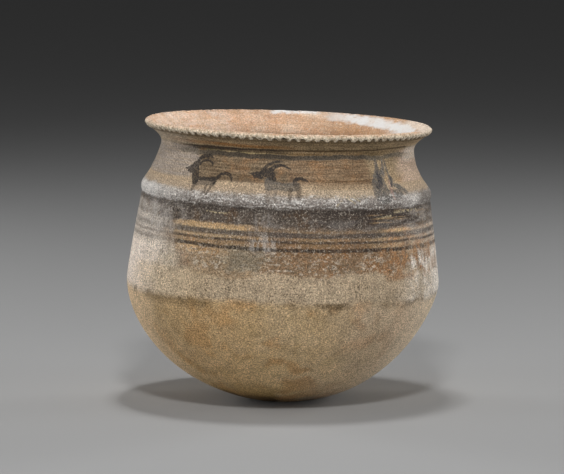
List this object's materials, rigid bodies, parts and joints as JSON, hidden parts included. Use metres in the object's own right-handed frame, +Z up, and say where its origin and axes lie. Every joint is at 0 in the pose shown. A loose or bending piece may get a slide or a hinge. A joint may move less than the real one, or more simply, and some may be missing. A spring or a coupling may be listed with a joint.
{
  "type": "painted pottery jar",
  "caption": "Round-bottomed fired-clay jar with a carinated shoulder, a flared notched rim, dark painted bands and a frieze of ibexes.",
  "frame": {"origin": "middle of the small worn flat under the bowl, on which the jar stands", "axes": "+Z up; the picture's camera looks along +Y, so the side it shows faces -Y and its right is +X, the way the jar's axis leans by 2 degrees"},
  "size_m": [0.2151, 0.215, 0.1942],
  "materials": {
    "fired_clay": "matt, unglazed, buff earthenware with worn brown-black paint and pale burial crust"
  },
  "bodies": {
    "root": {"jar": "fired_clay"}
  },
  "joints": []
}
